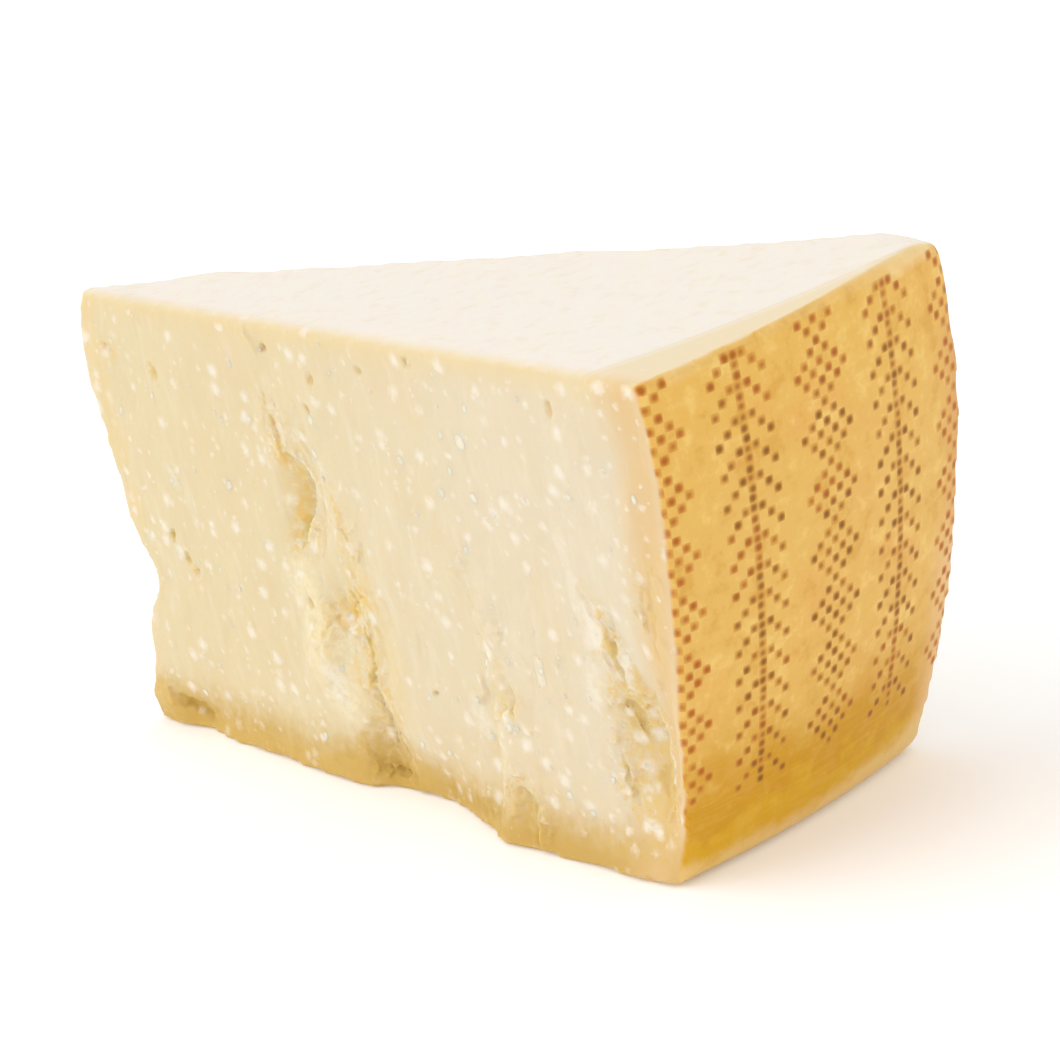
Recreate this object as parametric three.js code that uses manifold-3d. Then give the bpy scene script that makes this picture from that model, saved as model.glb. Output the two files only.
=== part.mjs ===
// A chunk of hard grating cheese: one wedge, broken by hand out of half a wheel.
//
// Millimetres, +Z up. The origin lies under the middle of the chunk, on the surface it rests on.
// +X runs from the broken point to the rind, and the front broken face looks towards -Y.
// The chunk stands on the flat side of the wheel. Its top is the cut that halved the wheel, so the
// rind is widest there and draws in towards the foot.
//
// The chunk is what a turned wheel and a broken block have in common. The wheel gives the rind and
// the flat foot. The block gives the two broken faces, the ragged point and the top cut.

import * as THREE from 'three';
import { mergeVertices } from 'three/addons/utils/BufferGeometryUtils.js';
import Module from 'manifold-3d';

// ---- Driving dimensions -------------------------------------------------------------------

const wheelRadius = 205;        // at the top cut, the widest ring of the wheel
const halfHeight = 111.8;       // from the flat side of the wheel to the top cut, at the front corner
const rindDrawIn = 26;          // how much smaller the wheel's radius is at its flat side
const rindCurve = 1.85;         // power by which the rind draws in on the way down
const footRound = 3;            // round between the rind and the flat side
const frontAngle = { foot: -17.55, top: -18 };       // degrees about the wheel's axis, face to rind
const backAngle = { foot: 6.3, top: 6.45 };          // the same for the back face
const wheelAxis = { x: -89.8, y: 20.3 };      // where the wheel's axis stands, seen from the origin

const pointTop = { x: -16.5, y: -21.4 };      // the broken point at the top cut, from the wheel's axis
const pointFoot = { x: -24.2, y: -24.4 };     // and at the foot, where it reaches further out
const pointWidth = 5;                         // the point is blunt by this much

const topRise = { x: 0.0155, y: 0.032 };      // the top cut climbs by this much for each mm
const topCrown = 0.8;                         // and stands this much over halfHeight at the front corner
const knockedCorner = { reach: 12, drop: 4 };        // the worn corner at the back of the rind

const facetSize = 4;            // side of the quads that carry the broken relief
const facetsAcross = 10;        // quads from face to face, over the top cut
const rindStep = 1.25;          // degrees of the wheel for each rind facet
const rindRows = 20;            // facets from foot to top cut
const overcut = 22;             // how far the block runs out past the rind
const undercut = 5;             // and down past the flat side
const wheelSpare = 20;          // how far the wheel runs up past the top cut

// ---- Relief of the broken faces -----------------------------------------------------------
// Places are along the face from the point, and up from the foot. A tilt, in degrees, leans the
// top of a mark towards the rind. Depths go in, and heights stand out.

const frontRelief = {
  seed: 11,
  hollows: [
    { along: 85, up: 69, wide: 9, tall: 15, tilt: 14, depth: 4.2 },      // under the long crack
    { along: 90, up: 42, wide: 9, tall: 13, tilt: 20, depth: 3.4 },      // heart of the middle crag
    { along: 101, up: 34, wide: 5, tall: 12, tilt: 4, depth: 2.2 },      // its side gully
    { along: 99, up: 10, wide: 8, tall: 12, tilt: 18, depth: 3.0 },      // its gully at the foot
    { along: 113, up: -2, wide: 22, tall: 17, tilt: 0, depth: 3.6 },     // scooped foot
    { along: 22, up: 4, wide: 9, tall: 7, tilt: 0, depth: 2.8 },         // beside the knob
    { along: 195, up: 31, wide: 10, tall: 22, tilt: 10, depth: 4.4 },    // crag by the rind
    { along: 190, up: 56, wide: 4, tall: 9, tilt: -12, depth: 1.6 },     // crack that runs into it
  ],
  swells: [
    { along: 80, up: 30, wide: 7, tall: 13, tilt: 16, height: 2.2 },     // pale flake in the crag
    { along: 8, up: 8, wide: 9, tall: 7, tilt: 0, height: 1.6 },         // knob under the point
    { along: 74, up: 0, wide: 18, tall: 16, tilt: 0, height: 1.6 },
    { along: 188, up: 2, wide: 13, tall: 9, tilt: 0, height: 1.6 },
    { along: 150, up: -4, wide: 32, tall: 14, tilt: 0, height: 3.6 },    // foot that juts out
    { along: 206, up: 30, wide: 5, tall: 20, tilt: 8, height: 1.4 },     // lip between crag and rind
    { along: 40, up: 80, wide: 40, tall: 34, tilt: 0, height: 1.2 },
  ],
  ledge: { along: 146, bow: 5.2, middle: 33, top: 68, rise: 2.8, fade: 26 },
  edgeBreaks: [
    { up: 42, tall: 14, depth: -0.9 },
  ],
};

const backRelief = {
  seed: 47,
  hollows: [
    { along: 62, up: 58, wide: 13, tall: 22, tilt: 22, depth: 4.4 },
    { along: 84, up: 30, wide: 9, tall: 14, tilt: -8, depth: 3.2 },
    { along: 158, up: 74, wide: 17, tall: 24, tilt: -16, depth: 4.0 },
    { along: 176, up: 112, wide: 34, tall: 16, tilt: 0, depth: 1.8 },
    { along: 128, up: 12, wide: 22, tall: 16, tilt: 0, depth: 3.6 },
    { along: 190, up: 28, wide: 10, tall: 20, tilt: 12, depth: 3.4 },
    { along: 26, up: 20, wide: 8, tall: 14, tilt: 0, depth: 2.4 },
    { along: 225, up: 114, wide: 8, tall: 12, tilt: 0, depth: 1.6 },     // worn end by the rind
  ],
  swells: [
    { along: 35, up: 110, wide: 12, tall: 20, tilt: 0, height: 4.4 },    // shoulder by the point
    { along: 76, up: 108, wide: 58, tall: 46, tilt: 0, height: 2.4 },
    { along: 108, up: 66, wide: 16, tall: 26, tilt: 10, height: 2.4 },
    { along: 20, up: 60, wide: 20, tall: 40, tilt: 0, height: 1.6 },
  ],
  ledge: { along: 104, bow: -9, middle: 40, top: 84, rise: 3.0, fade: 30 },
  edgeBreaks: [
    { up: 0, tall: 12, depth: 4 },
  ],
};

// How far the point is broken back, by height: a nib that reaches out at the top, a deep notch
// below the middle, and a toe at the foot. A face's own edgeBreaks say the same of its edge by
// the rind.
const pointBreaks = [
  { up: 96, tall: 17, depth: -3.9 },
  { up: 46, tall: 22, depth: 3.4 },
  { up: 38.5, tall: 7, depth: 6.4 },
  { up: 19, tall: 6, depth: 1.6 },
  { up: 2, tall: 7, depth: -1.5 },
];
const pointBlend = 16;          // the break at the point fades out this far along the faces
const edgeBlend = 7;            // and the one by the rind this far from it
const grain = { coarse: 19, fine: 8, coarseHeight: 0.75, fineHeight: 0.4 };      // lumps of the break

// ---- Helpers ------------------------------------------------------------------------------

const radians = THREE.MathUtils.degToRad;
const lerp = THREE.MathUtils.lerp;
const smoothstep = THREE.MathUtils.smoothstep;

// A repeatable value from -1 to 1 for a whole-numbered place.
function chance(i, j, seed) {
  let bits = Math.imul(i, 374761393) ^ Math.imul(j, 668265263) ^ Math.imul(seed, 974634777);
  bits = Math.imul(bits ^ (bits >>> 13), 1274126177);
  return ((bits ^ (bits >>> 16)) >>> 0) / 2147483648 - 1;
}

// Rolling lumps of the given size, from -1 to 1.
function lumps(x, y, size, seed) {
  const column = Math.floor(x / size);
  const row = Math.floor(y / size);
  const across = smoothstep(x / size - column, 0, 1);
  const upward = smoothstep(y / size - row, 0, 1);
  const low = lerp(chance(column, row, seed), chance(column + 1, row, seed), across);
  const high = lerp(chance(column, row + 1, seed), chance(column + 1, row + 1, seed), across);
  return lerp(low, high, upward);
}

// One at the middle of a mark, falling smoothly to nothing at its edge.
function dome(mark, along, up) {
  const turn = radians(mark.tilt);
  const dx = along - mark.along;
  const dz = up - mark.up;
  const across = (dx * Math.cos(turn) - dz * Math.sin(turn)) / mark.wide;
  const length = (dx * Math.sin(turn) + dz * Math.cos(turn)) / mark.tall;
  const nearness = Math.max(0, 1 - (across * across + length * length) / 1.8);
  return nearness * nearness;
}

// A bowed line down the face, past which the cheese stands proud and then fades away.
function ledgeHeight(ledge, along, up) {
  const line = ledge.along - ledge.bow * ((up - ledge.middle) / ledge.middle) ** 2;
  const past = along - line;
  const rise = ledge.rise * (1 - smoothstep(up, ledge.top * 0.4, ledge.top));
  return rise * smoothstep(past, -2, 2) * Math.exp(-Math.max(0, past) / ledge.fade);
}

function reliefAt(relief, along, up) {
  let height = ledgeHeight(relief.ledge, along, up);
  for (const mark of relief.hollows) {
    height -= mark.depth * dome(mark, along, up);
  }
  for (const mark of relief.swells) {
    height += mark.height * dome(mark, along, up);
  }
  height += grain.coarseHeight * lumps(along, up, grain.coarse, relief.seed);
  height += grain.fineHeight * lumps(along, up, grain.fine, relief.seed + 1);
  return height;
}

function breakAt(breaks, up) {
  let depth = 0;
  for (const notch of breaks) {
    depth += notch.depth * Math.exp(-(((up - notch.up) / notch.tall) ** 2));
  }
  return depth;
}

// ---- The wheel ----------------------------------------------------------------------------

function rindRadius(up) {
  const below = Math.max(0, halfHeight - up) / halfHeight;
  const drawIn = rindDrawIn * below ** rindCurve;
  const intoRound = Math.max(0, footRound - up);
  const rounding = footRound - Math.sqrt(footRound ** 2 - intoRound ** 2);
  return wheelRadius - drawIn - rounding;
}

function makeWheel() {
  const profile = [new THREE.Vector2(0, 0)];
  for (const up of [0, footRound * 0.15, footRound * 0.5]) {
    profile.push(new THREE.Vector2(rindRadius(up), up));
  }
  for (let row = 0; row <= rindRows; row++) {
    const up = lerp(footRound, halfHeight, row / rindRows);
    profile.push(new THREE.Vector2(rindRadius(up), up));
  }
  profile.push(new THREE.Vector2(wheelRadius, halfHeight + wheelSpare));
  profile.push(new THREE.Vector2(0, halfHeight + wheelSpare));
  const wheel = new THREE.LatheGeometry(profile, Math.round(360 / rindStep));
  return wheel.rotateX(Math.PI / 2);      // the lathe turns about Y, and the wheel's axis is Z
}

// ---- The broken block ---------------------------------------------------------------------

function cornerAt(angle, radius) {
  return new THREE.Vector2(radius * Math.cos(radians(angle)), radius * Math.sin(radians(angle)));
}

// The line of a broken face at a height, as its start at the point and its end past the rind.
function faceLine(angles, side, up) {
  const share = up / halfHeight;
  const start = new THREE.Vector2(
    lerp(pointFoot.x, pointTop.x, share),
    lerp(pointFoot.y, pointTop.y, share),
  );
  start.y += side > 0 ? pointWidth : 0;
  const angle = lerp(angles.foot, angles.top, share);
  const corner = cornerAt(angle, lerp(wheelRadius - rindDrawIn, wheelRadius, share));
  const length = corner.distanceTo(start);
  const direction = corner.sub(start).divideScalar(length);
  const toRind = cornerAt(angle, rindRadius(Math.max(up, 0))).distanceTo(start);
  return { start, direction, length: length + overcut, toRind };
}

// A place on a broken face: along it from the point, and up from the foot.
function onFace(angles, side, relief, share, up) {
  const line = faceLine(angles, side, up);
  const along = line.length * share;
  const fromRind = Math.max(0, line.toRind - along);
  const atEdge = Math.exp(-((fromRind / edgeBlend) ** 2));
  const height = reliefAt(relief, along, up) - breakAt(relief.edgeBreaks, up) * atEdge;
  const place = line.start.clone().addScaledVector(line.direction, along);
  place.x -= side * line.direction.y * height;
  place.y += side * line.direction.x * height;
  place.x += breakAt(pointBreaks, up) * Math.exp(-((along / pointBlend) ** 2));
  return place;
}

const frontCorner = cornerAt(frontAngle.top, wheelRadius);
const backCorner = cornerAt(backAngle.top, wheelRadius);

function topCutAt(place) {
  const climb = topRise.x * (place.x - frontCorner.x) + topRise.y * (place.y - frontCorner.y);
  const nearness = Math.max(0, 1 - place.distanceTo(backCorner) / knockedCorner.reach);
  return halfHeight + topCrown + climb - knockedCorner.drop * nearness ** 1.5;
}

// A box whose lattice is carried onto the broken faces, the point and the top cut.
function makeBlock() {
  const faceLength = frontCorner.distanceTo(new THREE.Vector2(pointTop.x, pointTop.y)) + overcut;
  const lengthwise = Math.round(faceLength / facetSize);
  const upright = Math.round(halfHeight / facetSize);
  const block = new THREE.BoxGeometry(1, 1, 1, lengthwise, facetsAcross, upright);
  const places = block.attributes.position;
  for (let i = 0; i < places.count; i++) {
    const share = places.getX(i) + 0.5;
    const across = places.getY(i) + 0.5;
    const climb = places.getZ(i) + 0.5;
    const up = lerp(-undercut, halfHeight, climb);
    const front = onFace(frontAngle, -1, frontRelief, share, up);
    const back = onFace(backAngle, 1, backRelief, share, up);
    const place = front.lerp(back, across);
    const height = lerp(-undercut, topCutAt(place), climb);
    places.setXYZ(i, place.x, place.y, height);
  }
  return block;
}

// ---- Joining ------------------------------------------------------------------------------

const wasm = await Module();
wasm.setup();

function toSolid(geometry) {
  geometry.deleteAttribute('normal');
  geometry.deleteAttribute('uv');
  const merged = mergeVertices(geometry, 1e-4);
  return new wasm.Manifold(new wasm.Mesh({
    numProp: 3,
    vertProperties: new Float32Array(merged.attributes.position.array),
    triVerts: new Uint32Array(merged.index.array),
  }));
}

function toGeometry(solid) {
  const mesh = solid.getMesh();
  const geometry = new THREE.BufferGeometry();
  geometry.setAttribute('position', new THREE.BufferAttribute(mesh.vertProperties, 3));
  geometry.setIndex(new THREE.BufferAttribute(mesh.triVerts, 1));
  geometry.computeVertexNormals();
  return geometry;
}

const paste = new THREE.MeshStandardMaterial({ color: 0xf0dcb6, roughness: 0.75, metalness: 0 });

const chunk = new THREE.Mesh(toGeometry(toSolid(makeWheel()).intersect(toSolid(makeBlock()))), paste);
chunk.name = 'parmesan_chunk';
chunk.position.set(wheelAxis.x, wheelAxis.y, 0);

const cheese = new THREE.Group();
cheese.add(chunk);

export default cheese;
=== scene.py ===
import math
import random
from functools import partial

import bpy
import numpy as np
from mathutils import Matrix, Vector
from mathutils.noise import noise_vector, seed_set


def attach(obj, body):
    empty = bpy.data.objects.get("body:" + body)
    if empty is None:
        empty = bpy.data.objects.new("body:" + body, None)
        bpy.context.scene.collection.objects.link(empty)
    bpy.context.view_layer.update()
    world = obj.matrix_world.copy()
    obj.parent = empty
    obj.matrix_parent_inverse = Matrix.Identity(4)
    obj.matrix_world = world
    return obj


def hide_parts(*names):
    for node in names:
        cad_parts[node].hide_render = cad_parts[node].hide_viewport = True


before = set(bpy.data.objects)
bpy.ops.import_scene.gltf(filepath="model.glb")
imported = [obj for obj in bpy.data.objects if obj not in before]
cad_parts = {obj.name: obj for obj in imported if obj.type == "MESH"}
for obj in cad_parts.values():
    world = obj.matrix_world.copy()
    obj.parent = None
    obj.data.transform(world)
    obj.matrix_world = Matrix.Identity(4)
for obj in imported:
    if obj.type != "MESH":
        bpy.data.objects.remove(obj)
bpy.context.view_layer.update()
mm = 0.001


# A colour given as 0 to 255 screen values, as the shaders want it.
def colour(red, green, blue):
    steps = [part / 255 for part in (red, green, blue)]
    return tuple(s / 12.92 if s <= 0.04045 else ((s + 0.055) / 1.055) ** 2.4 for s in steps) + (1.0,)


def switchMode(name):
    bpy.ops.object.mode_set(mode=name)


def selectOnly(piece):
    bpy.ops.object.select_all(action="DESELECT")
    piece.select_set(True)
    bpy.context.view_layer.objects.active = piece


# Nodes of materials. A source is another socket or a value, and a colour is in screen values.

def feed(socket, source):
    if isinstance(source, bpy.types.NodeSocket):
        socket.id_data.links.new(source, socket)
    else:
        socket.default_value = colour(*source) if socket.type == "RGBA" else source


# A new node stands in the same tree as the sockets that feed it, or in the given one.
def addNode(kind, sources, tree=None, **settings):
    tree = tree or next(s.id_data for s in sources.values() if isinstance(s, bpy.types.NodeSocket))
    node = tree.nodes.new("ShaderNode" + kind)
    for name, value in settings.items():
        setattr(node, name, value)
    for key, source in sources.items():
        feed(node.inputs[key], source)
    return node


def maths(operation, first, second=0.0):
    return addNode("Math", {0: first, 1: second}, operation=operation).outputs[0]


plus, minus, times, over, larger, same = [
    partial(maths, name) for name in ("ADD", "SUBTRACT", "MULTIPLY", "DIVIDE", "MAXIMUM", "COMPARE")]


def hypotenuse(first, second):
    return maths("SQRT", plus(times(first, first), times(second, second)))


# A smooth step from 0 at low to 1 at high.
def ramp(value, low, high, atLow=0.0, atHigh=1.0):
    sources = {"Value": value, "From Min": low, "From Max": high, "To Min": atLow, "To Max": atHigh}
    return addNode("MapRange", sources, interpolation_type="SMOOTHSTEP").outputs["Result"]


def blend(share, under, cover):
    return addNode("Mix", {"Factor": share, 6: under, 7: cover}, data_type="RGBA").outputs[2]


# Lays colours over a tone one after another, each by its share.
def layOver(tone, layers):
    for share, cover in layers:
        tone = blend(share, tone, cover)
    return tone


def noise(place, scale, detail=2.0, roughness=0.5):
    sources = {"Vector": place, "Scale": scale, "Detail": detail, "Roughness": roughness}
    return addNode("TexNoise", sources).outputs["Fac"]


# A noise made to swing about 0, by half of reach to either side at most.
def swaying(source, reach):
    return times(minus(source, 0.5), reach)


def stretched(place, scale):
    return addNode("Mapping", {"Vector": place, "Scale": scale}).outputs["Vector"]


# A node group with the sockets that it takes and gives.
def newGroup(name, takes, gives):
    group = bpy.data.node_groups.new(name, "ShaderNodeTree")
    kinds = {"Place": "Vector", "Stain": "Color", "Colour": "Color"}
    for labels, way in ((takes, "INPUT"), (gives, "OUTPUT")):
        for label in labels:
            kind = "NodeSocket" + kinds.get(label, "Float")
            group.interface.new_socket(label, in_out=way, socket_type=kind)
    start, end = [group.nodes.new("NodeGroup" + kind) for kind in ("Input", "Output")]
    return group, start.outputs, end.inputs


def useGroup(group, **sources):
    return addNode("Group", sources, node_tree=group).outputs


def newMaterial(name, finish):
    material = bpy.data.materials.new(name)
    material.use_nodes = True
    shader = material.node_tree.nodes["Principled BSDF"].inputs
    for label, value in finish.items():
        feed(shader[label], value)
    return material, material.node_tree, shader


def ownPlace(tree):
    return addNode("TexCoord", {}, tree).outputs["Object"]


def addBump(shader, height, depth):
    bump = addNode("Bump", {"Height": height, "Strength": 0.5, "Distance": depth * mm})
    feed(shader["Normal"], bump.outputs["Normal"])


# Stage: camera, floor and light

cameraView = {
    "aim": (12.39, 11.51, 54.26),  # mm, near the middle of the chunk
    "distance": 728.69,  # mm
    "azimuth": 46.03,  # degrees, 0 looks along +Y
    "elevation": 18.727,
    "roll": -12.565,  # the camera is tipped to one side
    "lens": 112.45,
    "sensor": 36.0,
    "farthest": 50.0,  # m
}

studio = {
    "floorSide": 14.0,  # m
    "floorDrop": 0.3,  # mm under the chunk
    "floorFinish": {
        "Base Color": (253, 253, 253), "Roughness": 0.9, "Specular IOR Level": 0.1,
        "Emission Color": (253, 253, 253),
        "Emission Strength": 0.12,  # keeps the shadow on it faint
    },
    "skyColour": (255, 255, 255),
    "skyStrength": 0.84,
    # the way to each light, its spread in degrees, and its power
    "lights": {
        "key_light": ((-0.5, -0.55, 0.75), 55.0, 0.85),
        "fill_light": ((0.9, -0.15, 0.35), 50.0, 0.25),
    },
}


def makeCamera(view):
    turn = Matrix.Identity(4)
    for angle, axis in ((view["azimuth"], "Z"), (90 - view["elevation"], "X"), (view["roll"], "Z")):
        turn = turn @ Matrix.Rotation(math.radians(angle), 4, axis)
    back = turn.to_3x3() @ Vector((0, 0, view["distance"] * mm))
    place = Vector(view["aim"]) * mm + back
    bpy.ops.object.camera_add(location=place, rotation=turn.to_euler())
    camera = bpy.context.object
    camera.name = "chunk_camera"
    camera.data.lens = view["lens"]
    camera.data.sensor_width = view["sensor"]
    camera.data.clip_end = view["farthest"]
    bpy.context.scene.camera = camera


def makeStage(look):
    world = bpy.data.worlds.new("soft_sky")
    world.use_nodes = True
    sky = world.node_tree.nodes["Background"]
    feed(sky.inputs["Color"], look["skyColour"])
    feed(sky.inputs["Strength"], look["skyStrength"])
    bpy.context.scene.world = world
    bpy.context.scene.view_settings.view_transform = "Standard"

    bpy.ops.object.select_all(action="DESELECT")
    bpy.ops.mesh.primitive_plane_add(size=look["floorSide"], location=(0, 0, -look["floorDrop"] * mm))
    floor = bpy.context.object
    floor.name = "pale_floor"
    floor.data.materials.append(newMaterial("pale_floor_paint", look["floorFinish"])[0])

    for name, (wayTo, spread, power) in look["lights"].items():
        turn = Vector(wayTo).to_track_quat("Z", "Y").to_euler()
        bpy.ops.object.light_add(type="SUN", location=wayTo, rotation=turn)
        light = bpy.context.object
        light.name = name
        light.data.angle = math.radians(spread)
        light.data.energy = power


makeCamera(cameraView)
makeStage(studio)
print("stage set")


# The wheel and the two broken faces, as the frame has them, in mm

wheel = {
    "axis": (-89.8, 20.3),  # the wheel's axis, seen from the origin
    "radius": 205.0,
    "halfHeight": 111.8,
    "drawIn": 26.0,  # the rind draws in by this much at the foot
    "curve": 1.85,
    "frontAngle": (-17.55, -18.0),  # degrees round the axis, at the foot and at the top cut
    "backAngle": (6.3, 6.45),
    "pointTop": (-16.5, -21.4),  # the broken point, from the axis
    "pointFoot": (-24.2, -24.4),
    "pointWidth": 5.0,
    "faceLength": 222, "faceHeight": 112,
}


def rindRadius(up):
    below = np.clip(wheel["halfHeight"] - up, 0, None) / wheel["halfHeight"]
    return wheel["radius"] - wheel["drawIn"] * below ** wheel["curve"]


# Where points lie on a broken face: along it from the point, and how far outside it.
def onFace(side, points):
    x, y = (points[:, :2] - wheel["axis"]).T
    share = points[:, 2] / wheel["halfHeight"]
    low, high = wheel["pointFoot"], wheel["pointTop"]
    startX = low[0] + (high[0] - low[0]) * share
    startY = low[1] + (high[1] - low[1]) * share + (wheel["pointWidth"] if side > 0 else 0)
    footAngle, topAngle = wheel["backAngle"] if side > 0 else wheel["frontAngle"]
    angle = np.radians(footAngle + (topAngle - footAngle) * share)
    reach = wheel["radius"] - wheel["drawIn"] * (1 - share)
    lineX = reach * np.cos(angle) - startX
    lineY = reach * np.sin(angle) - startY
    length = np.hypot(lineX, lineY)
    lineX, lineY = lineX / length, lineY / length
    along = (x - startX) * lineX + (y - startY) * lineY
    outside = side * ((y - startY) * lineX - (x - startX) * lineY)
    return along, outside


def smooth(value, low, high):
    share = np.clip((value - low) / (high - low), 0, 1)
    return share * share * (3 - 2 * share)


# All values of one property, in rows where one is more than a number wide.
def readAll(items, name, wide=1, kind=float):
    values = np.empty(len(items) * wide, dtype=kind)
    items.foreach_get(name, values)
    return values.reshape(-1, wide) if wide > 1 else values


# A piece's points in mm, and the part of the chunk that each lies on.
def readPlaces(piece):
    points = readAll(piece.data.vertices, "co", 3) / mm
    normals = readAll(piece.data.vertices, "normal", 3)
    x, y = (points[:, :2] - wheel["axis"]).T
    up = points[:, 2]
    ring = np.hypot(x, y)
    rindFacing = (normals[:, 0] * x + normals[:, 1] * y) / ring
    depth = rindRadius(up) - ring
    isRind = (depth < 0.6) & (rindFacing > 0.5)
    isFoot = (up < 1.4) & (normals[:, 2] < -0.7)
    isTop = (up > 100) & (normals[:, 2] > 0.6) & ~isRind
    front, back = onFace(-1, points), onFace(1, points)
    return {
        "points": points, "normals": normals, "up": up, "rindDepth": depth, "front": front, "back": back,
        "isRind": isRind, "isFoot": isFoot, "isTop": isTop, "broken": ~isRind & ~isFoot & ~isTop,
        "isFront": np.abs(front[1]) < np.abs(back[1]),
    }


# The chunk's body, from a merged copy of the frame's solid

chunkBody = {
    "quadAngles": (30.0, 40.0),  # degrees, how flat and how even a quad has to be
    "creaseAngle": 42.0,  # degrees, edges sharper than this stay edges
    "levels": 2,
    "cell": 1.6,  # mm, side of the even mesh
    "evenPasses": 3,
    "wornPasses": 5,
}


def useModifier(piece, kind, **settings):
    modifier = piece.modifiers.new(kind.lower(), kind)
    for name, value in settings.items():
        setattr(modifier, name, value)
    bpy.ops.object.modifier_apply(modifier=modifier.name)


def weightGroup(piece, name, weights):
    group = piece.vertex_groups.new(name=name)
    weights = np.clip(weights, 0, 1)
    for index in np.flatnonzero(weights > 0.002):
        group.add([int(index)], float(weights[index]), "REPLACE")


def makeBody(body):
    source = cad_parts["parmesan_chunk"]
    piece = bpy.data.objects.new("cheese_chunk", source.data.copy())
    bpy.context.scene.collection.objects.link(piece)
    piece.data.materials.clear()
    selectOnly(piece)
    flat, even = [math.radians(angle) for angle in body["quadAngles"]]
    switchMode("EDIT")
    bpy.ops.mesh.select_all(action="SELECT")
    bpy.ops.mesh.remove_doubles(threshold=0.01 * mm)
    bpy.ops.mesh.tris_convert_to_quads(face_threshold=flat, shape_threshold=even)
    bpy.ops.mesh.select_all(action="DESELECT")
    bpy.ops.mesh.select_mode(type="EDGE")
    bpy.ops.mesh.edges_select_sharp(sharpness=math.radians(body["creaseAngle"]))
    bpy.ops.transform.edge_crease(value=1.0)
    switchMode("OBJECT")
    useModifier(piece, "SUBSURF", levels=body["levels"], render_levels=body["levels"])
    bpy.ops.object.duplicate()
    trueForm = bpy.context.object
    selectOnly(piece)
    useModifier(piece, "REMESH", mode="VOXEL", voxel_size=body["cell"] * mm)
    useModifier(piece, "SMOOTH", factor=0.5, iterations=body["evenPasses"])
    # back onto the form that the even mesh has shrunk from
    useModifier(piece, "SHRINKWRAP", target=trueForm, wrap_method="NEAREST_SURFACEPOINT")
    bpy.data.objects.remove(trueForm)
    return piece


# Rounds the edges round the top cut a little, the toe under the point and the far rind edge.
def wearEdges(piece, passes):
    place = readPlaces(piece)
    up, facing = place["up"], place["normals"][:, 2]
    along = place["front"][0]
    atTop = smooth(up, 106, 110) * smooth(facing, 0.99, 0.9) * smooth(facing, 0.05, 0.2)
    atTop *= smooth(along, 214, 206)
    atToe = smooth(np.hypot(along, up), 9, 3) * smooth(up, 12, 4)
    atBack = smooth(place["rindDepth"], 6, 3) * smooth(np.abs(place["back"][1]), 6, 3)
    weightGroup(piece, "worn", np.maximum(np.maximum(atTop, atToe), atBack))
    useModifier(piece, "SMOOTH", factor=0.5, iterations=passes, vertex_group="worn")


chunk = makeBody(chunkBody)
wearEdges(chunk, chunkBody["wornPasses"])
print("body made:", len(chunk.data.polygons), "faces")


# Marks of the break, in mm along a face from the point and up from the foot
# cracks: half width, depth, share of crag, path
# steps: depth and reach of the drop, height and reach of the lip, share of crag, path whose right
#     side drops
# domes: along, up, half width, half height, tilt in degrees, how far they stand out

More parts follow.
